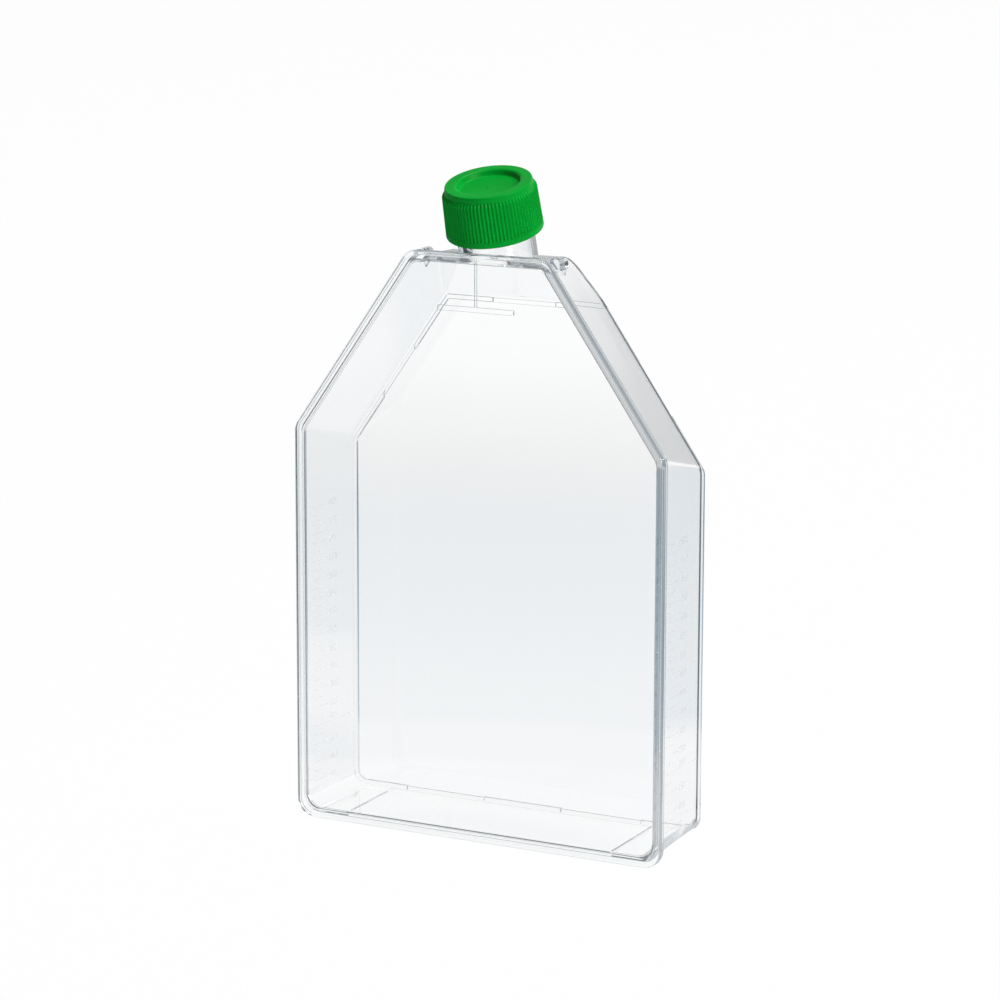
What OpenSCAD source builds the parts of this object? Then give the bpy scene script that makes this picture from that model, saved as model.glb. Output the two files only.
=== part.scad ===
// Cell culture flask with a screw cap: a deep clear tray, a clear cover welded
// over its open front, and a ribbed cap on a canted neck. Millimetres, +Z up.
// The flask is drawn square to the axes, with its cover in the plane y = 0 and
// its growth surface at the back, and stand() then leans it onto its feet.

/* [Outline] */
// Width across the cover rim
flask_w = 171; // [150:1:190]
// Height of the cover rim
flask_h = 245; // [225:1:265]
// Distance from the centre to the sloping shoulder, square to the slope
shoulder_reach = 166.4; // [160:0.2:172]
// Angle between the sloping shoulder and the upright
shoulder_angle = 35; // [30:1:40]
// Corner radius of the outline
corner_r = 8; // [6:0.5:10]
// Corner radius of the walls where the sides meet the bottom
foot_corner_r = 9; // [6:0.5:11]

/* [Tray] */
// Wall thickness
wall = 1.8; // [1.4:0.1:2.4]
// How far the rim stands out past the walls
rim_lip = 2.2; // [1.5:0.1:3]
// Depth at which the rim ends and the walls begin
rim_depth = 3.5; // [3:0.1:4.5]
// Depth of the outer face behind the growth surface
growth_back_y = 43; // [40:0.2:46]
// Height at which the back starts to slope towards the neck
slope_start = 222.5; // [221.5:0.5:230]
// Angle of the sloping back from the upright
slope_angle = 23.3; // [10:0.1:35]
// Radius of the rounded edge between the sloping back and the top
back_edge_r = 9; // [5:0.5:11]
// Radius of the walls' rear edge along the shoulders
shoulder_edge_r = 1.2; // [0.4:0.1:3]
// Depth of the plane that the stacking rim rests in
stack_y = 45; // [42:0.2:48]
// Height of the top of the stacking rim
stack_top = 221.2; // [200:0.2:222]
// Height of the bottom of the stacking rim
stack_bottom = 4.7; // [4.5:0.1:8]
// Distance from the centre to the stacking rim's shoulders, square to the slope
stack_reach = 157; // [150:0.1:158]
// Narrowing of the side walls per millimetre of depth
side_draft = 0.029; // [0:0.001:0.05]
// Narrowing of the shoulder walls per millimetre of depth
shoulder_draft = 0.153; // [0.05:0.001:0.18]
// Narrowing of the top wall per millimetre of depth
top_draft = 0.018; // [0:0.001:0.04]

/* [Feet and stacking rim] */
// Distance from the centre to where each foot starts
foot_start = 62; // [50:1:70]
// Height of the recess between the feet, over the feet
foot_rise = 0.5; // [0.4:0.05:3]
// Height of the inner floor's step over the feet
floor_step = 0.3; // [0.1:0.05:3]
// Half length of the stacking rim's middle piece at the bottom
bottom_tab_half = 18.3; // [10:0.1:30]
// Distance from the centre to the stacking rim's outer pieces at the bottom
bottom_gap_end = 56; // [45:1:65]
// Half length of the gap in the stacking rim at the top
top_gap_half = 14.7; // [8:0.1:25]
// Distances from the centre between which the rim is cut on each shoulder
shoulder_gap = [52, 67]; // [45:1:70]
// Height of the low rib left in each gap
gap_rib = 0.9; // [0.4:0.1:1.5]
// Depth of the flats on the edges that the flask stands on
foot_flat = 0.3; // [0.1:0.05:0.5]

/* [Cover] */
// Depth of the weld plane between the cover and the tray
weld_y = 1.8; // [1.4:0.1:2.2]
// Depth of the cover panel's front face
panel_y = 1.1; // [0.8:0.1:1.6]
// Thickness of the cover panel
panel_t = 1.8; // [1.4:0.1:2.4]
// Width of the raised outer lip
lip_w = 1.8; // [1.2:0.1:2.4]
// Depth of the step inside the lip
lip_step = 0.55; // [0.3:0.05:0.8]
// Half length of the cross bar of the T rib
bar_half = 17.4; // [12:0.2:22]
// Height of the middle of the cross bar
bar_z = 222.4; // [215:0.2:230]
// Width of the cross bar
bar_w = 2; // [1.4:0.1:2.6]
// Width of the stem that runs from the cross bar up to the rim
stem_w = 0.8; // [0.6:0.1:1.2]

/* [Neck and cap] */
// Tilt of the neck towards the cover
neck_tilt = 16.55; // [10:0.05:20]
// Depth of the neck's axis at the cap's lower edge
neck_y = 16.9; // [14:0.1:20]
// Height of the neck's axis at the cap's lower edge
neck_z = 253; // [250:0.2:256]
// Outer radius of the neck
neck_r = 15.9; // [14:0.1:16.6]
// Radius of the mouth
mouth_r = 14.6; // [12:0.1:15]
// Length of the neck inside the cap
neck_in_cap = 17.4; // [14:0.1:18]
// Height of the cap
cap_h = 21.2; // [20:0.1:24]
// Radius of the cap's lower edge
cap_r = 20; // [19:0.1:22]
// Radius of the top of the ribbed skirt
skirt_top_r = 19.35; // [18.6:0.05:20]
// Height of the top of the ribbed skirt
skirt_h = 18.6; // [16:0.1:19]
// Radius of the cap's flat top
cap_top_r = 17.9; // [16:0.1:18.4]
// Number of grip ribs round the cap
grip_ribs = 80; // [40:4:96]
// Depth of the grooves between the ribs
grip_depth = 0.45; // [0.2:0.05:0.6]

/* [Hidden] */
clear_plastic = [0.93, 0.95, 0.96, 0.35];
cap_green = [0.0, 0.56, 0.15];
arc_steps = 8;
edge_steps = 4;
rear_steps = 2;
slab = 0.02;
over = 1;
weld_gap = 0.3;
bottom_draft = 0.029;
back_corner_r = 6;
back_top_r = 1.5;
least_r = 1;

wall_half = flask_w / 2 - rim_lip;
wall_reach = shoulder_reach - rim_lip;
wall_top = flask_h - rim_lip;
wall_bottom = rim_lip;
tray_inset = rim_lip + wall;
growth_inner_y = growth_back_y - wall;
inner_floor = floor_step + wall;

// The flask stands on the rim's lower edge and on the rear ends of its feet.
foot_rear_z = wall_bottom + bottom_draft * (growth_back_y - rim_depth);
lean = atan(foot_rear_z / (growth_back_y - rim_depth));
front_y = -rim_depth * cos(lean);
rear_y = (stack_y - rim_depth) * cos(lean) + stack_top * sin(lean);
centre_y = (front_y + rear_y) / 2;

// The rounded edge's centre is back_edge_r inside both the top and the sloping back.
top_line = [top_draft, 1, top_draft * rim_depth + wall_top - back_edge_r];
back_line = [
    cos(slope_angle), sin(slope_angle),
    cos(slope_angle) * growth_back_y + sin(slope_angle) * slope_start - back_edge_r
];
line_turn = top_line[0] * back_line[1] - back_line[0] * top_line[1];
edge_y = (top_line[2] * back_line[1] - back_line[2] * top_line[1]) / line_turn;
edge_z = (top_line[0] * back_line[2] - back_line[0] * top_line[2]) / line_turn;

// The neck's foot lies neck_root below the cap's lower edge, along the axis. The
// neck's wall runs on below it to where it meets the inside of the sloping back.
neck_root = (neck_z - wall_top) / cos(neck_tilt);
neck_below = 25;
thread_room = 1.7;
cap_gap = 0.3;
seal_gap = 0.35;
seal_t = 1.3;
seal_h = 3.2;
cap_bore_r = neck_r + thread_room;
cap_roof = neck_in_cap + cap_gap;
seal_r = mouth_r - seal_gap;
plain_band = 2.2;
shoulder_step = [0.5, 1.3];
recess_r = 13.7;
recess_floor_r = 11.2;
recess_depth = 1.6;
pip_r = 1.2;
pip_h = 0.5;

lug_r = 2.6;
lug_x = 30.8;
lug_rise = 1.6;
lug_h = 5;
lug_y = [10, 17];
fin_w = 1.4;
fin_h = 7;

$fn = 96;

// Direction from a to b, one unit long.
function unit(a, b) = (b - a) / norm(b - a);

// Points of an arc of radius r that rounds the corner at b between a and c.
function arc_corner(a, b, c, r) =
    let (
        to_a = unit(b, a),
        to_c = unit(b, c),
        half = acos(to_a * to_c) / 2,
        mid = unit([0, 0], to_a + to_c),
        centre = b + mid * r / sin(half),
        start = b + to_a * r / tan(half) - centre,
        turn = sign(to_a[1] * to_c[0] - to_a[0] * to_c[1]) * (180 - 2 * half)
    )
    [
        for (i = [0 : arc_steps])
            let (t = turn * i / arc_steps)
            centre + [
                start[0] * cos(t) - start[1] * sin(t),
                start[0] * sin(t) + start[1] * cos(t)
            ]
    ];

// A polygon with each corner rounded to the radius beside it.
function rounded(pts, radii) =
    let (n = len(pts))
    [
        for (i = [0 : n - 1])
            each arc_corner(pts[(i + n - 1) % n], pts[i], pts[(i + 1) % n], radii[i])
    ];

// Width of the sloping shoulder's line at height z, for its distance from the centre.
function slope_x(reach, z) = (reach - z * sin(shoulder_angle)) / cos(shoulder_angle);
function slope_z(reach, x) = (reach - x * cos(shoulder_angle)) / sin(shoulder_angle);

// House-shaped outline: upright sides, sloping shoulders and a flat top.
function outline(half, bottom, reach, top, r_bottom, r_side, r_top) =
    rounded(
        [
            [-half, bottom], [half, bottom],
            [half, slope_z(reach, half)], [slope_x(reach, top), top],
            [-slope_x(reach, top), top], [-half, slope_z(reach, half)]
        ],
        [r_bottom, r_bottom, r_side, r_top, r_top, r_side]
    );

// Outline of the rim, drawn in by an inset.
function rim_outline(inset) =
    let (r = corner_r - inset / 2)
    outline(
        flask_w / 2 - inset, inset, shoulder_reach - inset, flask_h - inset, r, r, r
    );

// A corner's radius once its outline is drawn in.
function inner_r(r, inset) = max(r - inset, least_r);

// Outline of the drafted walls at depth y, drawn in by an inset, up to a given top;
// shrink also takes the shoulders in, towards the rounded rear edge.
function wall_outline(y, inset, top, shrink, r_side, r_top) =
    let (d = y - rim_depth)
    outline(
        wall_half - side_draft * d - inset,
        wall_bottom + bottom_draft * d + inset,
        wall_reach - shoulder_draft * d - inset - shrink,
        top,
        inner_r(foot_corner_r, inset), inner_r(r_side, inset), inner_r(r_top, inset)
    );

// The walls where they meet the rim.
function front_outline(y, inset) =
    wall_outline(
        y, inset, wall_top - top_draft * (y - rim_depth) - inset, 0, corner_r, corner_r
    );

// The walls further back, up to a given top.
function rear_outline(y, inset, top, shrink) =
    wall_outline(y, inset, top, shrink, back_corner_r, back_top_r);

// Height of the sloping back at depth y, drawn in by an inset.
function back_z(y, inset) =
    slope_start + ((growth_back_y - y) * cos(slope_angle) - inset) / sin(slope_angle);

// Outline of the stacking rim, drawn in by an inset.
function stack_outline(inset) =
    outline(
        wall_half - side_draft * (stack_y - rim_depth) - inset,
        stack_bottom + inset,
        stack_reach - inset,
        stack_top - inset,
        inner_r(back_corner_r, inset), inner_r(back_corner_r, inset), least_r
    );

// An upright plate with the given outline, from depth y0 to depth y1.
module plate(pts, y0, y1) {
    translate([0, y1, 0])
        rotate([90, 0, 0])
            linear_extrude(y1 - y0)
                polygon(pts);
}

// The drafted box of the tray from depth y0 back: its top rounds into the sloping
// back, which ends at the growth surface.
module drafted_box(y0, inset) {
    y1 = growth_back_y - inset;
    r = back_edge_r - inset;
    hull() {
        plate(front_outline(y0, inset), y0, y0 + slab);
        for (i = [0 : edge_steps]) {
            a = 90 + (slope_angle - 90) * i / edge_steps;
            y = edge_y + r * cos(a);
            plate(rear_outline(y, inset, edge_z + r * sin(a), 0), y - slab, y);
        }
        for (i = [0 : rear_steps]) {
            a = 90 * i / rear_steps;
            y = y1 - shoulder_edge_r * (1 - sin(a));
            shrink = shoulder_edge_r * (1 - cos(a));
            plate(rear_outline(y, inset, back_z(y, inset), shrink), y - slab, y);
        }
    }
}

// The axis of the neck, from the middle of the cap's lower edge upwards.
module on_neck() {
    translate([0, neck_y, neck_z])
        rotate([neck_tilt, 0, 0])
            children();
}

// Leans the flask back onto its feet, with the origin under its middle.
module stand() {
    translate([0, -centre_y, -foot_flat])
        rotate([-lean, 0, 0])
            translate([0, -rim_depth, 0])
                children();
}

// As stand(), with flats where the edges below touch the ground.
module stand_flat() {
    difference() {
        stand()
            children();
        translate([-flask_w, -flask_h, -over])
            cube([2 * flask_w, 2 * flask_h, over]);
    }
}

// The space that the middle of the bottom wall leaves under it, from depth y0 back.
module bottom_recess(rise, y0, margin) {
    half = foot_start + margin;
    translate([-half, y0, bottom_draft * y0 - over])
        rotate([atan(bottom_draft), 0, 0])
            cube([2 * half, stack_y + over, wall_bottom + rise + margin + over]);
}

// A gap in the stacking rim between two distances x, from height z0 to z1.
module rim_gap(x, z0, z1) {
    translate([x[0], growth_back_y + gap_rib, z0])
        cube([x[1] - x[0], stack_y, z1 - z0]);
}

module stacking_rim() {
    difference() {
        plate(stack_outline(0), growth_inner_y, stack_y);
        plate(stack_outline(wall), growth_back_y, stack_y + over);
        rim_gap([-top_gap_half, top_gap_half], stack_top / 2, flask_h);
        for (side = [0, 1])
            mirror([side, 0, 0]) {
                rim_gap([bottom_tab_half, bottom_gap_end], 0, stack_top / 2);
                rim_gap(shoulder_gap, stack_top / 2, flask_h);
            }
    }
}

// A cylinder round the neck's axis, from a depth below its foot up to height top.
module neck_rod(r, below, top) {
    on_neck()
        translate([0, 0, -neck_root - below])
            cylinder(h = below + neck_root + top, r = r);
}

module neck_tube() {
    intersection() {
        neck_rod(neck_r, neck_below, neck_in_cap);
        translate([-flask_w / 2, rim_depth, slope_start])
            cube([flask_w, growth_inner_y - rim_depth, flask_h]);
    }
}

// A small lug on each top corner, with a fin that runs down the shoulder.
module corner_lugs() {
    z = wall_top + lug_rise - lug_r;
    fin_reach = wall_reach - shoulder_draft * (lug_y[1] - rim_depth);
    for (side = [0, 1])
        mirror([side, 0, 0]) {
            translate([0, lug_y[1], 0])
                rotate([90, 0, 0])
                    linear_extrude(lug_y[1] - lug_y[0]) {
                        translate([lug_x, z])
                            circle(r = lug_r);
                        translate([lug_x - lug_r, z - lug_h + lug_r])
                            square([2 * lug_r, lug_h - lug_r]);
                    }
            translate([0, lug_y[1], 0])
                rotate([90, 0, 0])
                    linear_extrude(fin_w)
                        polygon([
                            [lug_x, z], [lug_x + lug_r, z],
                            [slope_x(fin_reach, z - fin_h), z - fin_h], [lug_x, z - fin_h]
                        ]);
        }
}

module tray_body() {
    color(clear_plastic)
        stand_flat()
            difference() {
                union() {
                    plate(rim_outline(0), weld_y, rim_depth);
                    difference() {
                        drafted_box(rim_depth - slab, 0);
                        bottom_recess(foot_rise, 0, 0);
                    }
                    stacking_rim();
                    neck_tube();
                    corner_lugs();
                }
                difference() {
                    drafted_box(weld_y - over, wall);
                    bottom_recess(inner_floor, 0, 0);
                }
                neck_rod(mouth_r, neck_below, neck_in_cap + over);
            }
}

module t_rib() {
    translate([-bar_half, panel_y - 1, bar_z - bar_w / 2])
        cube([2 * bar_half, 1 + slab, bar_w]);
    translate([-stem_w / 2, panel_y - 1, bar_z])
        cube([stem_w, 1 + slab, flask_h - lip_w - bar_z]);
}

module cover_plate() {
    color(clear_plastic)
        stand_flat() {
            difference() {
                union() {
                    plate(rim_outline(0), 0, weld_y);
                    plate(front_outline(rim_depth, wall + weld_gap), panel_y, panel_y + panel_t);
                }
                plate(rim_outline(lip_w), -over, lip_step);
                plate(rim_outline(tray_inset), -over, panel_y);
                bottom_recess(inner_floor, weld_y, weld_gap);
            }
            t_rib();
        }
}

// Outline of the ribbed skirt: flat-topped ribs with grooves between them.
function grip_outline() =
    [
        for (i = [0 : grip_ribs - 1], k = [0 : 3])
            let (
                step = 360 / grip_ribs,
                a = step * (i + [0, 0.4, 0.55, 0.85][k]),
                r = k < 2 ? cap_r + slab : skirt_top_r - grip_depth
            )
            [r * cos(a), r * sin(a)]
    ];

module cap_shell() {
    rotate_extrude()
        polygon([
            [0, 0], [cap_r, 0], [skirt_top_r, skirt_h],
            [skirt_top_r - shoulder_step[0], skirt_h + shoulder_step[1]],
            [cap_top_r, cap_h], [0, cap_h]
        ]);
}

module screw_cap() {
    color(cap_green)
        stand()
            on_neck()
                difference() {
                    intersection() {
                        cap_shell();
                        union() {
                            linear_extrude(cap_h)
                                polygon(grip_outline());
                            cylinder(h = plain_band, r = cap_r + slab);
                        }
                    }
                    translate([0, 0, -over])
                        cylinder(h = cap_roof - seal_h + over, r = cap_bore_r);
                    translate([0, 0, cap_roof - seal_h - slab])
                        difference() {
                            cylinder(h = seal_h + slab, r = cap_bore_r);
                            cylinder(h = seal_h + over, r = seal_r);
                        }
                    translate([0, 0, cap_roof - seal_h - over])
                        cylinder(h = seal_h + over, r = seal_r - seal_t);
                    rotate_extrude()
                        polygon([
                            [pip_r, cap_h - recess_depth], [recess_floor_r, cap_h - recess_depth],
                            [recess_r, cap_h], [recess_r, cap_h + over],
                            [0, cap_h + over], [0, cap_h - recess_depth + pip_h],
                            [pip_r, cap_h - recess_depth + pip_h]
                        ]);
                }
}

tray_body();
cover_plate();
screw_cap();
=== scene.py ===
"""Cell culture flask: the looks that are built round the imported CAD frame.

Shapes are made in the flask's own frame, in millimetres: the cover lies in the
plane y = 0, the growth surface is at the back and z points up the flask.
place() then leans each finished mesh onto its feet, where the CAD stands.
"""
import math

import bmesh
import bpy
from mathutils import Matrix, Vector


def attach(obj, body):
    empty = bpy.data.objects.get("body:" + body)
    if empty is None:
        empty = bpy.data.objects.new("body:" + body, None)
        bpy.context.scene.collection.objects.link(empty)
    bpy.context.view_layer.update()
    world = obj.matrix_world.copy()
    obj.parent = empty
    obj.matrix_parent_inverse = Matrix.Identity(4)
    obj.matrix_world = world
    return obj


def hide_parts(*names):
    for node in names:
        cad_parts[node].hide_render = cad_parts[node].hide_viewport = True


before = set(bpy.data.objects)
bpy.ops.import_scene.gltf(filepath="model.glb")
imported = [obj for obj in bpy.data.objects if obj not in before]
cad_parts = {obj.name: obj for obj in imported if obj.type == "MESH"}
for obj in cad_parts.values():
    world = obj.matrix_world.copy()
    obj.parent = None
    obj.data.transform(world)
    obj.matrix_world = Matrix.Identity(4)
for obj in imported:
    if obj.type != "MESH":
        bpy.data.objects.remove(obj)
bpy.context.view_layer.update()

# ---------------------------------------------------------------- dimensions
MM = 0.001

FLASK_W = 171.0
FLASK_H = 245.0
SHOULDER_REACH = 166.4
SHOULDER_ANGLE = math.radians(35)
CORNER_R = 8.0
FOOT_CORNER_R = 9.0

WALL = 1.8
RIM_LIP = 2.2
RIM_DEPTH = 3.5
GROWTH_BACK_Y = 43.0
SLOPE_START = 222.5
SLOPE_ANGLE = math.radians(23.3)
BACK_EDGE_R = 9.0
SHOULDER_EDGE_R = 1.2
STACK_Y = 45.0
STACK_TOP = 221.2
STACK_BOTTOM = 4.7
STACK_REACH = 157.0
BACK_CORNER_R = 6.0
BACK_TOP_R = 1.5
SIDE_DRAFT = 0.029
BOTTOM_DRAFT = 0.029
SHOULDER_DRAFT = 0.153
TOP_DRAFT = 0.018

FOOT_START = 62.0
FOOT_RISE = 0.5
FLOOR_STEP = 0.3
FOOT_FLAT = 0.3
BOTTOM_TAB_HALF = 18.3
BOTTOM_GAP_END = 56.0
TOP_GAP_HALF = 14.7
SHOULDER_GAP = (52.0, 67.0)
GAP_RIB = 0.9

WELD_Y = 1.8
WELD_EDGE = 0.12
WELD_LINE = 0.01
PANEL_Y = 1.1
PANEL_T = 1.8
LIP_W = 1.8
LIP_STEP = 0.55
STEP_INSET = 3.3
PANEL_SLOPE = 0.6
PLUG_LAP = 0.4
PLUG_EDGE = 0.2
BAR_HALF = 17.4
BAR_Z = 222.4
BAR_W = 2.0
STEM_W = 0.8
RIB_RISE = 1.0
RIB_LAP = 0.2

NECK_TILT = math.radians(16.55)
NECK_Y = 16.9
NECK_Z = 253.0
NECK_R = 15.9
MOUTH_R = 14.6
NECK_IN_CAP = 17.4
NECK_BELOW = 25.0

CAP_H = 21.2
CAP_R = 20.0
SKIRT_TOP_R = 19.35
SKIRT_H = 18.6
CAP_TOP_R = 17.9
GRIP_RIBS = 80
GRIP_DEPTH = 0.45
CAP_BORE_R = NECK_R + 1.7
CAP_ROOF = NECK_IN_CAP + 0.3
SEAL_R = MOUTH_R - 0.35
SEAL_T = 1.3
SEAL_H = 3.2
PLAIN_BAND = 2.2
GRIP_RUN_IN = 0.5
GRIP_TOP = SKIRT_H - 1.4
RECESS_R = 13.7
RECESS_FLOOR_R = 11.2
RECESS_DEPTH = 2.3
PIP_R = 1.1
POINTS_PER_RIB = 8
GRIP_STEPS = 4

LUG_R = 2.6
LUG_X = 30.8
LUG_RISE = 1.6
LUG_H = 5.0
LUG_Y = (10.0, 17.0)
FIN_W = 1.4
FIN_H = 5.2

WALL_HALF = FLASK_W / 2 - RIM_LIP
WALL_REACH = SHOULDER_REACH - RIM_LIP
WALL_TOP = FLASK_H - RIM_LIP
WALL_BOTTOM = RIM_LIP
TRAY_INSET = RIM_LIP + WALL
WELD_GAP = 0.3

FOOT_REAR_Z = WALL_BOTTOM + BOTTOM_DRAFT * (GROWTH_BACK_Y - RIM_DEPTH)
LEAN = math.atan(FOOT_REAR_Z / (GROWTH_BACK_Y - RIM_DEPTH))
FRONT_Y = -RIM_DEPTH * math.cos(LEAN)
REAR_Y = (STACK_Y - RIM_DEPTH) * math.cos(LEAN) + STACK_TOP * math.sin(LEAN)
CENTRE_Y = (FRONT_Y + REAR_Y) / 2

STAND = (
    Matrix.Scale(MM, 4)
    @ Matrix.Translation((0, -CENTRE_Y, -FOOT_FLAT))
    @ Matrix.Rotation(-LEAN, 4, "X")
    @ Matrix.Translation((0, -RIM_DEPTH, 0))
)
ON_NECK = Matrix.Translation((0, NECK_Y, NECK_Z)) @ Matrix.Rotation(NECK_TILT, 4, "X")
NECK_LOW = -(NECK_Z - WALL_TOP) / math.cos(NECK_TILT) - NECK_BELOW

# The rounded edge's centre is BACK_EDGE_R inside both the top and the sloping back.
TOP_OFF = TOP_DRAFT * RIM_DEPTH + WALL_TOP - BACK_EDGE_R
BACK_OFF = (
    math.cos(SLOPE_ANGLE) * GROWTH_BACK_Y + math.sin(SLOPE_ANGLE) * SLOPE_START - BACK_EDGE_R
)
LINE_TURN = TOP_DRAFT * math.sin(SLOPE_ANGLE) - math.cos(SLOPE_ANGLE)
EDGE_Y = (TOP_OFF * math.sin(SLOPE_ANGLE) - BACK_OFF) / LINE_TURN
EDGE_Z = (TOP_DRAFT * BACK_OFF - math.cos(SLOPE_ANGLE) * TOP_OFF) / LINE_TURN

RIM_FILLET = 0.7
FLANGE_EDGE = 0.5
FLANGE_STEPS = 4
COVER_EDGE = 0.7
COVER_EDGE_STEPS = 6
LUG_EDGE = 0.35
LUG_STEPS = 16
MOUTH_EDGE = 0.5
MOUTH_STEPS = 4

THREAD_PITCH = 4.2
THREAD_RISE = 1.1
THREAD_START = 5.0
THREAD_ROOT = 0.3
THREAD_RUN_IN = 0.12
THREAD_STEPS = 64
NECK_THREAD_TURNS = 2.0
NECK_THREAD_W = 2.2
CAP_THREAD_TURNS = 1.6
CAP_THREAD_W = 1.9

ARC_STEPS = 12
EDGE_STEPS = 8
REAR_STEPS = 6
ROUND = 128


# ------------------------------------------------------------------- outlines
def arc_corner(a, b, c, r):
    """Points of an arc of radius r that rounds the corner at b, from a to c."""
    to_a = (a - b).normalized()
    to_c = (c - b).normalized()
    half = math.acos(max(-1, min(1, to_a.dot(to_c)))) / 2
    centre = b + (to_a + to_c).normalized() * (r / math.sin(half))
    start = b + to_a * (r / math.tan(half)) - centre
    turn = math.copysign(math.pi - 2 * half, to_a.y * to_c.x - to_a.x * to_c.y)
    points = []
    for i in range(ARC_STEPS + 1):
        t = turn * i / ARC_STEPS
        points.append(centre + Vector((
            start.x * math.cos(t) - start.y * math.sin(t),
            start.x * math.sin(t) + start.y * math.cos(t),
        )))
    return points


def slope_x(reach, z):
    return (reach - z * math.sin(SHOULDER_ANGLE)) / math.cos(SHOULDER_ANGLE)


def slope_z(reach, x):
    return (reach - x * math.cos(SHOULDER_ANGLE)) / math.sin(SHOULDER_ANGLE)


def outline(half, bottom, reach, top, r_bottom, r_side, r_top):
    """House-shaped outline in x and z: upright sides, sloping shoulders, flat top."""
    corners = [
        (half, bottom, r_bottom), (half, slope_z(reach, half), r_side),
        (slope_x(reach, top), top, r_top), (-slope_x(reach, top), top, r_top),
        (-half, slope_z(reach, half), r_side), (-half, bottom, r_bottom),
    ]
    places = [Vector(c[:2]) for c in corners]
    points = []
    for i, corner in enumerate(corners):
        points += arc_corner(places[i - 1], places[i], places[(i + 1) % 6], corner[2])
    return points


def inner_r(r, inset):
    return max(r - inset, 1)


def rim_outline(inset):
    r = CORNER_R - inset / 2
    return outline(
        FLASK_W / 2 - inset, inset, SHOULDER_REACH - inset, FLASK_H - inset, r, r, r
    )


def wall_outline(y, inset, top, shrink, r_side, r_top):
    """The drafted walls at depth y, drawn in by an inset, up to a given top."""
    d = y - RIM_DEPTH
    return outline(
        WALL_HALF - SIDE_DRAFT * d - inset,
        WALL_BOTTOM + BOTTOM_DRAFT * d + inset,
        WALL_REACH - SHOULDER_DRAFT * d - inset - shrink,
        top,
        inner_r(FOOT_CORNER_R, inset), inner_r(r_side, inset), inner_r(r_top, inset),
    )


def front_outline(y, inset):
    top = WALL_TOP - TOP_DRAFT * (y - RIM_DEPTH) - inset
    return wall_outline(y, inset, top, 0, CORNER_R, CORNER_R)


def rear_outline(y, inset, top, shrink):
    return wall_outline(y, inset, top, shrink, BACK_CORNER_R, BACK_TOP_R)


def back_z(y, inset):
    """Height of the sloping back at depth y."""
    run = (GROWTH_BACK_Y - y) * math.cos(SLOPE_ANGLE) - inset
    return SLOPE_START + run / math.sin(SLOPE_ANGLE)


def stack_outline(inset):
    r = inner_r(BACK_CORNER_R, inset)
    return outline(
        WALL_HALF - SIDE_DRAFT * (STACK_Y - RIM_DEPTH) - inset, STACK_BOTTOM + inset,
        STACK_REACH - inset, STACK_TOP - inset, r, r, 1,
    )


# -------------------------------------------------------------- mesh building
def mesh_object(name, verts, faces):
    mesh = bpy.data.meshes.new(name)
    mesh.from_pydata([tuple(v) for v in verts], [], faces)
    mesh.update()
    obj = bpy.data.objects.new(name, mesh)
    bpy.context.scene.collection.objects.link(obj)
    bm = bmesh.new()
    bm.from_mesh(mesh)
    bmesh.ops.recalc_face_normals(bm, faces=bm.faces)
    bm.to_mesh(mesh)
    bm.free()
    return obj


def skin_rings(name, rings):
    """A closed solid through rings of equal length, with flat ends."""
    n = len(rings[0])
    last = len(rings) - 1
    verts = [v for ring in rings for v in ring]
    faces = []
    for j in range(last):
        k = j + 1
        for i in range(n):
            m = (i + 1) % n
            faces.append((j * n + i, j * n + m, k * n + m, k * n + i))
    faces.append(tuple(range(n)))
    faces.append(tuple(last * n + i for i in range(n)))
    return mesh_object(name, verts, faces)


def at_depth(points, y):
    return [(p.x, y, p.y) for p in points]


def plate(name, points, y0, y1):
    return skin_rings(name, [at_depth(points, y0), at_depth(points, y1)])


def block(name, lo, hi, matrix=Matrix.Identity(4)):
    ring = [(lo[0], lo[1]), (hi[0], lo[1]), (hi[0], hi[1]), (lo[0], hi[1])]
    return skin_rings(name, [
        [matrix @ Vector((x, y, z)) for x, y in ring] for z in (lo[2], hi[2])
    ])


def lathe_ring(r, h, n=ROUND):
    return [
        (r * math.cos(2 * math.pi * i / n), r * math.sin(2 * math.pi * i / n), h)
        for i in range(n)
    ]


def combine(target, tool, operation):
    """Joins or cuts target with tool, and removes tool."""
    modifier = target.modifiers.new("cut", "BOOLEAN")
    modifier.operation = operation
    modifier.object = tool
    modifier.solver = "MANIFOLD"
    bpy.context.view_layer.update()
    depsgraph = bpy.context.evaluated_depsgraph_get()
    result = bpy.data.meshes.new_from_object(target.evaluated_get(depsgraph))
    target.modifiers.clear()
    old = target.data
    target.data = result
    bpy.data.meshes.remove(old)
    bpy.data.objects.remove(tool)
    return target


def smooth(obj, angle=32):
    """Smooth shading between faces that meet under an angle, led by the large faces."""
    mesh = obj.data
    bm = bmesh.new()
    bm.from_mesh(mesh)
    bmesh.ops.dissolve_degenerate(bm, dist=1e-4, edges=bm.edges)
    bm.to_mesh(mesh)
    bm.free()
    mesh.shade_smooth()
    mesh.set_sharp_from_angle(angle=math.radians(angle))
    modifier = obj.modifiers.new("weighted", "WEIGHTED_NORMAL")
    modifier.keep_sharp = True
    modifier.weight = 100
    bpy.context.view_layer.update()
    depsgraph = bpy.context.evaluated_depsgraph_get()
    result = bpy.data.meshes.new_from_object(
        obj.evaluated_get(depsgraph), preserve_all_data_layers=True, depsgraph=depsgraph
    )
    obj.modifiers.clear()
    obj.data = result


def place(obj, body, material, matrix=Matrix.Identity(4)):
    """Moves a finished mesh from the flask's frame to where the flask stands."""
    obj.data.transform(STAND @ matrix)
    obj.data.materials.clear()
    obj.data.materials.append(material)
    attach(obj, body)


# ------------------------------------------------------------------ materials
def new_material(name):
    material = bpy.data.materials.new(name)
    material.use_nodes = True
    nodes = material.node_tree.nodes
    return material, nodes, material.node_tree.links, nodes["Principled BSDF"]


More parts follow.
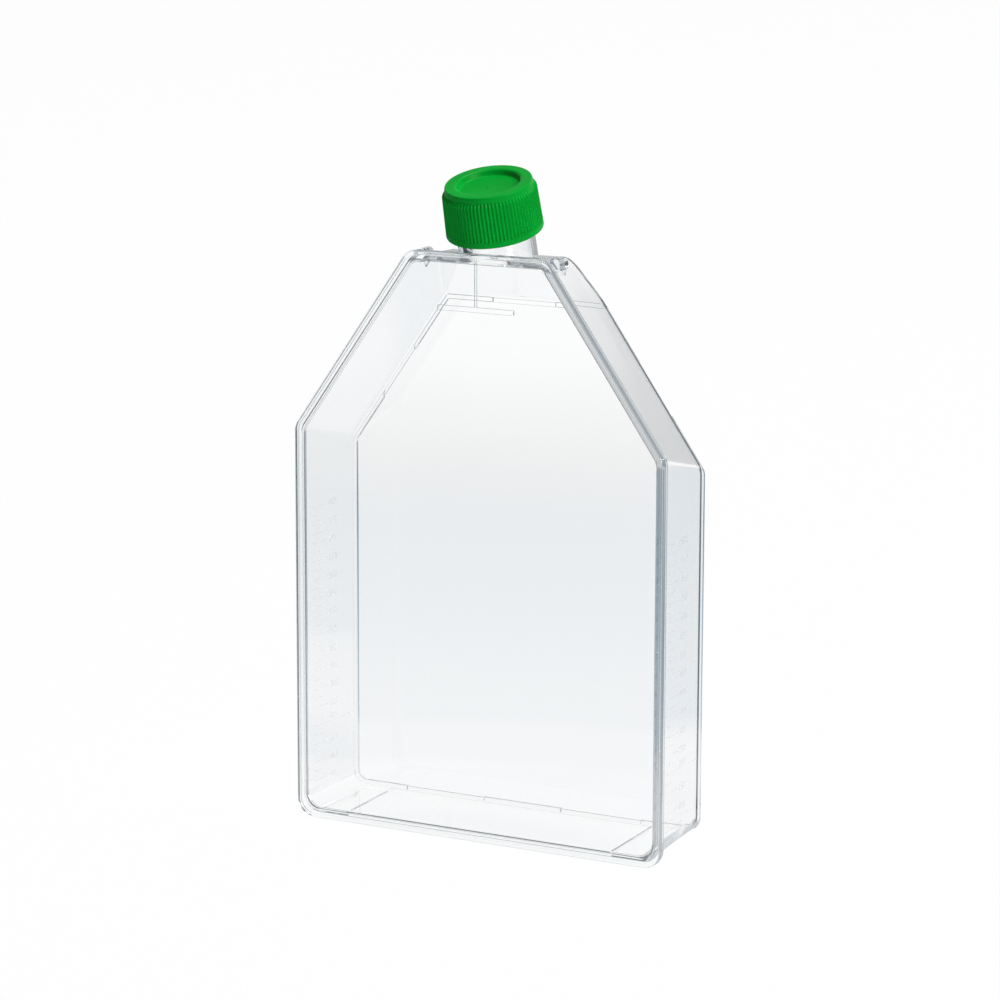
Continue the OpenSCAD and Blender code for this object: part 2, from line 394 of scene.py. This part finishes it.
def set_inputs(node, **values):
    """Sets a node's own sockets; an underscore stands for a space."""
    for name, value in values.items():
        node.inputs[name.replace("_", " ")].default_value = value


def on_math(nodes, links, operation, source, value):
    """The result of a Math node on a socket and a number or second socket."""
    node = nodes.new("ShaderNodeMath")
    node.operation = operation
    links.new(source, node.inputs[0])
    if isinstance(value, float):
        node.inputs[1].default_value = value
    else:
        links.new(value, node.inputs[1])
    return node.outputs[0]


def mix_colours(nodes, links, factor, a, b):
    """Blends two colours, each a socket or a tuple."""
    node = nodes.new("ShaderNodeMix")
    node.data_type = "RGBA"
    links.new(factor, node.inputs["Factor"])
    for name, colour in (("A", a), ("B", b)):
        if isinstance(colour, tuple):
            node.inputs[name].default_value = (*colour, 1)
        else:
            links.new(colour, node.inputs[name])
    return node.outputs["Result"]


def mix_shaders(nodes, links, factor, a, b):
    node = nodes.new("ShaderNodeMixShader")
    links.new(factor, node.inputs["Fac"])
    links.new(a, node.inputs[1])
    links.new(b, node.inputs[2])
    return node.outputs["Shader"]


def colour_ramp(nodes, stops):
    """A colour ramp node through (place, colour) stops."""
    node = nodes.new("ShaderNodeValToRGB")
    elements = node.color_ramp.elements
    while len(elements) < len(stops):
        elements.new(0.5)
    for element, (place_at, colour) in zip(elements, stops):
        element.position = place_at
        element.color = (*colour, 1)
    return node


def noise_on(nodes, links, scale, detail=2.0):
    """Noise that is fixed to the object."""
    place_on = nodes.new("ShaderNodeTexCoord")
    noise = nodes.new("ShaderNodeTexNoise")
    set_inputs(noise, Scale=scale, Detail=detail)
    links.new(place_on.outputs["Object"], noise.inputs["Vector"])
    return noise.outputs["Fac"]


def see_through(nodes, colour):
    node = nodes.new("ShaderNodeBsdfTransparent")
    node.inputs["Color"].default_value = (*colour, 1)
    return node.outputs["BSDF"]


def clear_plastic(name):
    """Polished clear plastic with a faint unevenness in its polish."""
    material, nodes, links, bsdf = new_material(name)
    set_inputs(bsdf, Base_Color=(0.995, 0.997, 0.998, 1), Transmission_Weight=1.0, IOR=1.59)
    polish = nodes.new("ShaderNodeMapRange")
    set_inputs(polish, To_Min=0.0, To_Max=0.035)
    links.new(noise_on(nodes, links, 38.0, 3.0), polish.inputs["Value"])
    links.new(polish.outputs["Result"], bsdf.inputs["Roughness"])
    light = nodes.new("ShaderNodeLightPath").outputs
    # Light that runs on between the walls leaves them after a few reflections. The grey it leaves
    # through is painted shade: it sets how dark the bands along the rim look.
    leave = on_math(nodes, links, "GREATER_THAN", light["Glossy Depth"], 2.5)
    out = see_through(nodes, (0.6, 0.62, 0.63))
    body = mix_shaders(nodes, links, leave, bsdf.outputs["BSDF"], out)
    shade = see_through(nodes, (0.93, 0.95, 0.95))
    surface = mix_shaders(nodes, links, light["Is Shadow Ray"], body, shade)
    links.new(surface, nodes["Material Output"].inputs["Surface"])
    return material


def cap_plastic():
    """Satin green plastic with a fine grain and slight flow marks."""
    material, nodes, links, bsdf = new_material("cap_green_plastic")
    # The plain green stands in where the ramp below can't be read.
    set_inputs(
        bsdf, Base_Color=(0.0, 0.33, 0.03, 1), Roughness=0.36, IOR=1.5, Specular_IOR_Level=0.05
    )
    bump = nodes.new("ShaderNodeBump")
    set_inputs(bump, Strength=0.04, Distance=0.0002)
    links.new(noise_on(nodes, links, 900.0, 4.0), bump.inputs["Height"])
    links.new(bump.outputs["Normal"], bsdf.inputs["Normal"])
    colours = colour_ramp(nodes, [(0.3, (0.0, 0.305, 0.024)), (0.7, (0.0, 0.35, 0.031))])
    links.new(noise_on(nodes, links, 60.0), colours.inputs["Fac"])
    links.new(colours.outputs["Color"], bsdf.inputs["Base Color"])
    return material


def mark_plastic():
    """The raised marks are clear like the walls; their faint grey is painted shade for the little
    light they catch, so they are nearly see-through.
    """
    material, _, _, bsdf = new_material("scale_marks")
    set_inputs(bsdf, Base_Color=(0.62, 0.58, 0.6, 1), Roughness=0.4, Alpha=0.11)
    return material


CLEAR_TRAY = clear_plastic("clear_tray_plastic")
CLEAR_COVER = clear_plastic("clear_cover_plastic")
CAP_GREEN = cap_plastic()
MARKS = mark_plastic()


# ----------------------------------------------------------------- the pieces
def box_rings(inset):
    """The walls behind the rim: the top rounds into the sloping back, which ends at
    the growth surface, and the shoulders' rear edges are rounded."""
    rings = []
    r = BACK_EDGE_R - inset
    for i in range(EDGE_STEPS + 1):
        a = math.pi / 2 + (SLOPE_ANGLE - math.pi / 2) * i / EDGE_STEPS
        y = EDGE_Y + r * math.cos(a)
        rings.append(at_depth(rear_outline(y, inset, EDGE_Z + r * math.sin(a), 0), y))
    for i in range(REAR_STEPS + 1):
        a = math.pi / 2 * i / REAR_STEPS
        y = GROWTH_BACK_Y - inset - SHOULDER_EDGE_R * (1 - math.sin(a))
        shrink = SHOULDER_EDGE_R * (1 - math.cos(a))
        rings.append(at_depth(rear_outline(y, inset, back_z(y, inset), shrink), y))
    return rings


def make_cavity():
    """The space inside the tray, open at the cover."""
    y0 = WELD_Y - 1
    return skin_rings("cavity", [at_depth(front_outline(y0, WALL), y0)] + box_rings(WALL))


def outer_box():
    """The outside of the tray with the flange of its rim."""
    rings = [
        at_depth(rim_outline(WELD_EDGE), WELD_Y + WELD_LINE),
        at_depth(rim_outline(0.0), WELD_Y + WELD_EDGE),
    ]
    for i in range(FLANGE_STEPS + 1):
        a = math.pi / 2 * i / FLANGE_STEPS
        rings.append(at_depth(
            rim_outline(FLANGE_EDGE * (1 - math.cos(a))),
            RIM_DEPTH - FLANGE_EDGE + FLANGE_EDGE * math.sin(a),
        ))
    for i in range(FLANGE_STEPS + 1):
        a = math.pi / 2 * i / FLANGE_STEPS
        rings.append(at_depth(
            rim_outline(RIM_LIP - RIM_FILLET * (1 - math.sin(a))),
            RIM_DEPTH + RIM_FILLET * (1 - math.cos(a)),
        ))
    return skin_rings("tray_shell", rings + box_rings(0))


def bottom_recess(rise, y0=0.0, margin=0.0):
    """The space under the middle of the bottom wall, which follows the wall's draft."""
    half = FOOT_START + margin
    return block(
        "recess", (-half, y0, -1), (half, STACK_Y + 2, WALL_BOTTOM + rise + margin),
        Matrix.Rotation(math.atan(BOTTOM_DRAFT), 4, "X"),
    )


def stacking_rim():
    """The raised rim round the growth surface, broken by its gaps."""
    rim = plate("rim", stack_outline(0), GROWTH_BACK_Y - WALL, STACK_Y)
    combine(rim, plate("in", stack_outline(WALL), GROWTH_BACK_Y, STACK_Y + 1), "DIFFERENCE")
    low = GROWTH_BACK_Y + GAP_RIB
    gaps = [((-TOP_GAP_HALF, TOP_GAP_HALF), (STACK_TOP - 9, STACK_TOP + 9))]
    for s in (-1, 1):
        gaps.append((sorted((s * BOTTOM_TAB_HALF, s * BOTTOM_GAP_END)), (0, 2 * STACK_BOTTOM)))
        gaps.append((sorted(s * x for x in SHOULDER_GAP), (STACK_TOP / 2, STACK_TOP + 9)))
    for xs, zs in gaps:
        combine(rim, block("gap", (xs[0], low, zs[0]), (xs[1], STACK_Y + 2, zs[1])),
                "DIFFERENCE")
    return rim


def neck_rings(profile):
    return [[ON_NECK @ Vector(v) for v in lathe_ring(r, h)] for r, h in profile]


def mouth_edge(r, side, first):
    """The rounded edge of the neck's mouth, outside (side -1) or inside (side 1)."""
    profile = []
    for k in range(first, MOUTH_STEPS + 1):
        a = math.pi / 2 * k / MOUTH_STEPS
        profile.append((
            r + side * MOUTH_EDGE * (1 - math.cos(a)),
            NECK_IN_CAP - MOUTH_EDGE + MOUTH_EDGE * math.sin(a),
        ))
    return profile


def neck_tube():
    profile = [(NECK_R, NECK_LOW)] + mouth_edge(NECK_R, -1, 0)
    tube = skin_rings("neck", neck_rings(profile))
    room = block(
        "room", (-FLASK_W / 2, RIM_DEPTH, SLOPE_START),
        (FLASK_W / 2, GROWTH_BACK_Y - WALL, SLOPE_START + FLASK_H),
    )
    return combine(tube, room, "INTERSECT")


def mouth_bore():
    profile = [(MOUTH_R, NECK_LOW), (MOUTH_R, NECK_IN_CAP - MOUTH_EDGE)]
    profile += mouth_edge(MOUTH_R, 1, 1)
    profile.append((MOUTH_R + MOUTH_EDGE, NECK_IN_CAP + 3))
    return skin_rings("bore", neck_rings(profile))


def thread(r_root, rise, h0, turns, width, matrix=Matrix.Identity(4)):
    """A ridge wound round the axis that tapers in and out; a negative rise points inward."""
    steps = int(THREAD_STEPS * turns)
    root = r_root - math.copysign(THREAD_ROOT, rise)
    rings = []
    for i in range(steps + 1):
        t = i / steps
        a = 2 * math.pi * turns * t
        lead = min(1, t * turns / THREAD_RUN_IN, (1 - t) * turns / THREAD_RUN_IN)
        crest = r_root + rise * math.sin(math.pi / 2 * lead)
        h = h0 + THREAD_PITCH * turns * t
        section = [(root, -width / 2), (crest, -width / 5), (crest, width / 5), (root, width / 2)]
        rings.append([
            matrix @ Vector((r * math.cos(a), r * math.sin(a), h + dh)) for r, dh in section
        ])
    return skin_rings("thread", rings)


def lug(side):
    """A rounded lug on a top corner."""
    z = WALL_TOP + LUG_RISE - LUG_R
    low = z - LUG_H + LUG_R
    section = [(LUG_X - LUG_R, low), (LUG_X + LUG_R, low)]
    for i in range(LUG_STEPS + 1):
        a = math.pi * i / LUG_STEPS
        section.append((LUG_X + LUG_R * math.cos(a), z + LUG_R * math.sin(a)))
    middle = Vector((LUG_X, z))
    rings = []
    ends = ((LUG_Y[0], 1 - LUG_EDGE / LUG_R), (LUG_Y[0] + LUG_EDGE, 1), (LUG_Y[1], 1))
    for y, k in ends:
        scaled = [middle + (Vector(p) - middle) * k for p in section]
        rings.append([(side * p.x, y, p.y) for p in scaled])
    return skin_rings("lug", rings)


def fin(side):
    """The small fin that runs from a lug's rear end down the shoulder."""
    z = WALL_TOP + LUG_RISE - LUG_R
    reach = WALL_REACH - SHOULDER_DRAFT * (LUG_Y[1] - RIM_DEPTH)
    section = [
        (LUG_X, z), (LUG_X + LUG_R - 0.02, z),
        (slope_x(reach, z - FIN_H) - 0.02, z - FIN_H), (LUG_X, z - FIN_H),
    ]
    rings = [
        [(side * x, y, h) for x, h in section] for y in (LUG_Y[1] - FIN_W, LUG_Y[1] - 0.02)
    ]
    return skin_rings("fin", rings)


def ground():
    """What lies under the flask, in the flask's frame: it cuts the flats it stands on."""
    to_flask = STAND.inverted()
    wide = 300 * MM
    return block("ground", (-wide, -wide, -10 * MM), (wide, wide, 0), to_flask)


def make_tray():
    """The tray, its neck and its lugs: one moulding."""
    tray = outer_box()
    combine(tray, bottom_recess(FOOT_RISE, RIM_DEPTH + RIM_FILLET), "DIFFERENCE")
    combine(tray, stacking_rim(), "UNION")
    combine(tray, neck_tube(), "UNION")
    for side in (-1, 1):
        combine(tray, lug(side), "UNION")
        combine(tray, fin(side), "UNION")
    cavity = make_cavity()
    combine(cavity, bottom_recess(FLOOR_STEP + WALL), "DIFFERENCE")
    combine(tray, cavity, "DIFFERENCE")
    combine(tray, mouth_bore(), "DIFFERENCE")
    ridge = thread(
        NECK_R, THREAD_RISE, THREAD_START, NECK_THREAD_TURNS, NECK_THREAD_W, ON_NECK
    )
    combine(tray, ridge, "UNION")
    combine(tray, ground(), "DIFFERENCE")
    smooth(tray)
    place(tray, "flask", CLEAR_TRAY)
    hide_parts("tray_body")


def make_cover():
    """The cover: a plate with a raised outer lip, a step inside it and a plug behind."""
    # Inset from the rim's outline and depth, from the panel's edge to the lip and round it.
    profile = [
        (TRAY_INSET, PANEL_Y), (TRAY_INSET - PANEL_SLOPE, LIP_STEP + 0.05),
        (STEP_INSET, LIP_STEP), (LIP_W + 0.05, LIP_STEP), (LIP_W, LIP_STEP - 0.05),
        (LIP_W, 0.1), (LIP_W - 0.1, 0),
    ]
    for i in range(COVER_EDGE_STEPS + 1):
        a = math.pi / 2 * i / COVER_EDGE_STEPS
        profile.append((COVER_EDGE * (1 - math.sin(a)), COVER_EDGE * (1 - math.cos(a))))
    back = WELD_Y - WELD_LINE
    profile += [(0, WELD_Y - WELD_EDGE), (WELD_EDGE, back), (TRAY_INSET + 1, back)]
    rings = [at_depth(rim_outline(inset), y) for inset, y in profile]
    cover = skin_rings("cover_shell", rings)
    plug_back = PANEL_Y + PANEL_T
    plug_line = front_outline(RIM_DEPTH, WALL + WELD_GAP)
    plug = skin_rings("plug", [
        at_depth(plug_line, WELD_Y - PLUG_LAP),
        at_depth(plug_line, plug_back - PLUG_EDGE),
        at_depth(front_outline(RIM_DEPTH, WALL + WELD_GAP + PLUG_EDGE), plug_back),
    ])
    notch = bottom_recess(FLOOR_STEP + WALL, 0, WELD_GAP)
    combine(plug, notch, "DIFFERENCE")
    combine(cover, plug, "UNION")
    ribs = (
        ("bar", BAR_HALF, BAR_Z - BAR_W / 2, BAR_Z + BAR_W / 2),
        ("stem", STEM_W / 2, BAR_Z, FLASK_H - LIP_W + 0.3),
    )
    for name, half, low, high in ribs:
        rib = block(
            name, (-half, PANEL_Y - RIB_RISE, low), (half, PANEL_Y + RIB_LAP, high)
        )
        combine(cover, rib, "UNION")
    combine(cover, ground(), "DIFFERENCE")
    smooth(cover)
    place(cover, "flask", CLEAR_COVER)
    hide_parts("cover_plate")


def make_cap():
    """The cap: one closed surface whose skirt is waved by the grip ribs."""
    n = GRIP_RIBS * POINTS_PER_RIB
    floor_h = CAP_H - RECESS_DEPTH
    grip_from = PLAIN_BAND + GRIP_RUN_IN

    def skirt_r(h):
        return CAP_R - (CAP_R - SKIRT_TOP_R) / SKIRT_H * h

    # Radius, height and how deep the grip ribs are cut there.
    rows = [
        (CAP_BORE_R + 0.3, 0, 0), (CAP_R - 0.5, 0, 0), (CAP_R - 0.15, 0.12, 0),
        (CAP_R, 0.5, 0), (skirt_r(PLAIN_BAND), PLAIN_BAND, 0),
        (skirt_r(grip_from), grip_from, 1),
    ]
    for k in range(1, GRIP_STEPS + 1):
        h = grip_from + (GRIP_TOP - grip_from) * k / GRIP_STEPS
        rows.append((skirt_r(h), h, 1))
    rows += [
        (SKIRT_TOP_R - 0.30, SKIRT_H - 0.9, 1), (SKIRT_TOP_R - 0.75, SKIRT_H - 0.25, 0.9),
        (SKIRT_TOP_R - 1.05, SKIRT_H + 0.02, 0.5), (SKIRT_TOP_R - 1.25, SKIRT_H + 0.25, 0),
        (CAP_TOP_R + 0.12, CAP_H - 0.9, 0), (CAP_TOP_R, CAP_H - 0.45, 0),
        (CAP_TOP_R - 0.2, CAP_H - 0.12, 0), (CAP_TOP_R - 0.6, CAP_H, 0),
        (RECESS_R + 0.6, CAP_H, 0), (RECESS_R + 0.1, CAP_H - 0.08, 0),
        (RECESS_R - 0.4, CAP_H - 0.3, 0), (RECESS_R - 0.8, CAP_H - 0.7, 0),
        (RECESS_R - 1.1, CAP_H - 1.3, 0), (RECESS_FLOOR_R + 1.1, floor_h + 0.4, 0),
        (RECESS_FLOOR_R + 0.7, floor_h + 0.1, 0), (RECESS_FLOOR_R + 0.1, floor_h, 0),
        (PIP_R + 0.4, floor_h, 0), (PIP_R, floor_h + 0.12, 0), (0.6, floor_h + 0.3, 0),
    ]
    outside = []
    for r, h, depth in rows:
        ring = []
        for i in range(n):
            a = 2 * math.pi * i / n
            wave = 0.5 - 0.5 * math.cos(2 * math.pi * i / POINTS_PER_RIB)
            waved_r = r - GRIP_DEPTH * depth * wave ** 0.8
            ring.append((waved_r * math.cos(a), waved_r * math.sin(a), h))
        outside.append(ring)
    seal_end = CAP_ROOF - SEAL_H
    inner = [
        (0.6, CAP_ROOF), (SEAL_R - SEAL_T, CAP_ROOF), (SEAL_R - SEAL_T, seal_end + 0.4),
        (SEAL_R - SEAL_T + 0.4, seal_end), (SEAL_R - 0.4, seal_end),
        (SEAL_R, seal_end + 0.4), (SEAL_R, CAP_ROOF), (CAP_BORE_R, CAP_ROOF),
        (CAP_BORE_R, 0.5),
    ]
    cap = skin_rings("cap_shell", [lathe_ring(r, h, n) for r, h in inner] + outside)
    ridge = thread(
        CAP_BORE_R, -THREAD_RISE, THREAD_START + THREAD_PITCH / 2, CAP_THREAD_TURNS, CAP_THREAD_W
    )
    combine(cap, ridge, "UNION")
    smooth(cap, 40)
    place(cap, "cap", CAP_GREEN, ON_NECK)
    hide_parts("screw_cap")


# ---------------------------------------------------------- marks on the walls
SCALE_FIRST_Z = 13.29
SCALE_PITCH = 7.906
SCALE_MAJORS = 16
SCALE_STEP_ML = 50
SCALE_Y = 9.3
MAJOR_LONG = 11.7
MINOR_LONG = 7.0
FULL_LINE_AT = 4
LABEL_Y = 22.0
LABEL_SIZE = 4.2
LABEL_BESIDE_MARK = -1.4
LABEL_ABOVE_LINE = 0.8
MARK_W = 0.35
MARK_H = 0.15
MARK_SINK = 0.02


def wall_matrix(side):
    """Maps (along the depth, up, out of the wall) to the outer face of a side wall."""
    x = side * (WALL_HALF + SIDE_DRAFT * RIM_DEPTH)
    out = Vector((side, SIDE_DRAFT, 0)).normalized()
    along = Vector((-side * SIDE_DRAFT, 1, 0)).normalized()
    up = Vector((0, 0, 1))
    m = Matrix((along, up, out)).transposed().to_4x4()
    m.translation = Vector((x, 0, 0))
    return m


def label_mesh(text):
    """A raised number, lying in its own x and y."""
    curve = bpy.data.curves.new("label", "FONT")
    curve.body = text
    curve.size = LABEL_SIZE
    curve.extrude = MARK_H / 2
    curve.resolution_u = 4
    obj = bpy.data.objects.new("label", curve)
    bpy.context.scene.collection.objects.link(obj)
    bpy.context.view_layer.update()
    depsgraph = bpy.context.evaluated_depsgraph_get()
    mesh = bpy.data.meshes.new_from_object(obj.evaluated_get(depsgraph))
    bpy.data.objects.remove(obj)
    return mesh


def make_scale(side):
    """The raised marks and numbers on one side wall."""
    bm = bmesh.new()

    def bar(y0, y1, z):
        geom = bmesh.ops.create_cube(bm, size=1)
        size = Matrix.Diagonal((y1 - y0, MARK_W, MARK_H, 1))
        bmesh.ops.transform(
            bm, verts=geom["verts"],
            matrix=Matrix.Translation(((y0 + y1) / 2, z, MARK_H / 2 - MARK_SINK)) @ size,
        )

    for i in range(SCALE_MAJORS):
        z = SCALE_FIRST_Z + SCALE_PITCH * i
        full = i + 1 == FULL_LINE_AT
        bar(SCALE_Y, GROWTH_BACK_Y - WALL if full else SCALE_Y + MAJOR_LONG, z)
        bar(SCALE_Y, SCALE_Y + MINOR_LONG, z - SCALE_PITCH / 2)
        mesh = label_mesh(str(SCALE_STEP_ML * (i + 1)))
        width = max(v.co.x for v in mesh.vertices)
        lift = LABEL_ABOVE_LINE if full else LABEL_BESIDE_MARK
        turn = Matrix.Diagonal((side, 1, 1, 1))
        start = LABEL_Y if side > 0 else LABEL_Y + width
        mesh.transform(Matrix.Translation((start, z + lift, MARK_H / 2)) @ turn)
        bm.from_mesh(mesh)
        bpy.data.meshes.remove(mesh)
    bm.transform(wall_matrix(side))
    bmesh.ops.recalc_face_normals(bm, faces=bm.faces)
    mesh = bpy.data.meshes.new("scale")
    bm.to_mesh(mesh)
    bm.free()
    name = "scale_right" if side > 0 else "scale_left"
    obj = bpy.data.objects.new(name, mesh)
    bpy.context.scene.collection.objects.link(obj)
    place(obj, "flask", MARKS)


make_tray()
make_cover()
make_cap()
make_scale(-1)
make_scale(1)


# -------------------------------------------------------------- floor and light
SEEN_SHARE = 0.97  # the rest of the floor's white comes from the lamps, with the shadow
TWICE_SHARE = 0.4
TWICE_TONE = (0.88, 0.88, 0.88)
FLOOR_REACH = 6.0

# The floor's mirrored colour by its distance from the flask, in metres.
FLOOR_STOPS = [
    (0.0, (0.50, 0.54, 0.58)), (0.07, (0.52, 0.56, 0.60)), (0.09, (0.80, 0.82, 0.84)),
    (0.185, (0.79, 0.81, 0.83)), (0.21, (0.42, 0.51, 0.60)),
    (0.30, (0.42, 0.50, 0.57)), (0.60, (0.25, 0.36, 0.45)), (1.0, (0.10, 0.21, 0.29)),
    (1.18, (0.18, 0.26, 0.32)), (1.30, (0.33, 0.34, 0.35)), (1.48, (0.42, 0.42, 0.42)),
    (1.66, (0.58, 0.58, 0.58)), (2.12, (0.84, 0.84, 0.84)), (2.4, (0.97, 0.97, 0.97)),
    (3.0, (1.0, 1.0, 1.0)),
]

# The mirrored colour of the surroundings by the upward part of the ray's direction.
SKY_STOPS = [
    (0.0, (0.9, 0.9, 0.9)), (0.04, (0.14, 0.16, 0.18)), (0.09, (0.14, 0.16, 0.18)),
    (0.12, (0.28, 0.30, 0.31)), (0.13, (0.85, 0.85, 0.85)), (0.30, (1, 1, 1)),
    (0.42, (0.2, 0.21, 0.22)),
]

# The same for light that an edge turns round inside the plastic: lighter overhead.
SKY_INSIDE_STOPS = SKY_STOPS[:-1] + [(0.42, (0.8, 0.8, 0.8))]


def seen_surroundings(nodes, links, reflected):
    """How much the surroundings glow by themselves for a ray, and in which colour. It is
    white where they are seen plainly or through the clear walls. In reflections it is
    the colour that the socket reflected gives, since a studio's surroundings are dimmer,
    and evened out where an edge has turned the light round twice."""
    light = nodes.new("ShaderNodeLightPath").outputs
    seen = light["Is Camera Ray"]
    for other in ("Is Glossy Ray", "Is Transmission Ray"):
        seen = on_math(nodes, links, "MAXIMUM", seen, light[other])
    mirrored = on_math(nodes, links, "MINIMUM", light["Glossy Depth"], 1.0)
    colour = mix_colours(nodes, links, mirrored, (1, 1, 1), reflected)
    twice = on_math(nodes, links, "GREATER_THAN", light["Glossy Depth"], 1.5)
    share = on_math(nodes, links, "MULTIPLY", twice, TWICE_SHARE)
    return seen, mix_colours(nodes, links, share, colour, TWICE_TONE)


def make_floor():
    """A white floor: it takes the flask's shadow, and its tone in reflections is FLOOR_STOPS."""
    size = FLOOR_REACH
    floor = mesh_object(
        "floor", [(-size, -size, 0), (size, -size, 0), (size, size, 0), (-size, size, 0)],
        [(0, 1, 2, 3)],
    )
    material, nodes, links, bsdf = new_material("floor_white")
    set_inputs(bsdf, Base_Color=(0.76, 0.77, 0.78, 1), Roughness=0.9, Specular_IOR_Level=0.0)
    where = nodes.new("ShaderNodeNewGeometry")
    away = nodes.new("ShaderNodeVectorMath")
    away.operation = "LENGTH"
    links.new(where.outputs["Position"], away.inputs[0])
    reach = on_math(nodes, links, "DIVIDE", away.outputs["Value"], FLOOR_REACH)
    ramp = colour_ramp(nodes, [(d / FLOOR_REACH, colour) for d, colour in FLOOR_STOPS])
    links.new(reach, ramp.inputs["Fac"])
    seen, colour = seen_surroundings(nodes, links, ramp.outputs["Color"])
    glow = nodes.new("ShaderNodeEmission")
    links.new(colour, glow.inputs["Color"])
    share = on_math(nodes, links, "MULTIPLY", seen, SEEN_SHARE)
    surface = mix_shaders(nodes, links, share, bsdf.outputs["BSDF"], glow.outputs["Emission"])
    links.new(surface, nodes["Material Output"].inputs["Surface"])
    floor.data.materials.append(material)


def make_world():
    """White surroundings whose tone in reflections is SKY_STOPS or SKY_INSIDE_STOPS."""
    world = bpy.data.worlds.new("studio")
    bpy.context.scene.world = world
    world.use_nodes = True
    nodes = world.node_tree.nodes
    links = world.node_tree.links
    direction = nodes.new("ShaderNodeTexCoord")
    parts = nodes.new("ShaderNodeSeparateXYZ")
    links.new(direction.outputs["Generated"], parts.inputs[0])
    ramps = [colour_ramp(nodes, stops) for stops in (SKY_STOPS, SKY_INSIDE_STOPS)]
    for ramp in ramps:
        links.new(parts.outputs["Z"], ramp.inputs["Fac"])
    light = nodes.new("ShaderNodeLightPath").outputs
    inside = on_math(nodes, links, "MINIMUM", light["Transmission Depth"], 1.0)
    sky = mix_colours(nodes, links, inside, *(ramp.outputs["Color"] for ramp in ramps))
    seen, colour = seen_surroundings(nodes, links, sky)
    fill = mix_colours(nodes, links, seen, (0.10, 0.105, 0.11), colour)
    links.new(fill, nodes["Background"].inputs["Color"])


def area_light(name, place_at, size, watts):
    """A square lamp that is aimed at the flask."""
    data = bpy.data.lights.new(name, "AREA")
    data.shape = "RECTANGLE"
    data.size = data.size_y = size
    data.energy = watts
    obj = bpy.data.objects.new(name, data)
    obj.location = place_at
    aim = Vector((0, 0, 0.2)) - Vector(place_at)
    obj.rotation_euler = aim.to_track_quat("-Z", "Y").to_euler()
    bpy.context.scene.collection.objects.link(obj)


def make_camera():
    """The viewpoint: from the front right and a little above."""
    azimuth = math.radians(28.83)
    elevation = math.radians(15.55)
    roll = math.radians(-2.215)
    distance = 1.5848
    aim = Vector((0.0006, 0.0007, 0.1387))
    back = Vector((
        math.sin(azimuth) * math.cos(elevation),
        -math.cos(azimuth) * math.cos(elevation),
        math.sin(elevation),
    ))
    data = bpy.data.cameras.new("camera")
    data.sensor_width = 36.0
    data.lens = 138.68
    camera = bpy.data.objects.new("camera", data)
    look = back.to_track_quat("Z", "Y").to_matrix().to_4x4()
    camera.matrix_world = (
        Matrix.Translation(aim + back * distance) @ look @ Matrix.Rotation(roll, 4, "Z")
    )
    bpy.context.scene.collection.objects.link(camera)
    bpy.context.scene.camera = camera


make_floor()
make_world()
area_light("key", (3.0, -0.7, 1.7), 1.2, 78)
area_light("top", (0.5, 1.0, 3.6), 1.6, 106)
make_camera()
bpy.context.scene.view_settings.view_transform = "Standard"
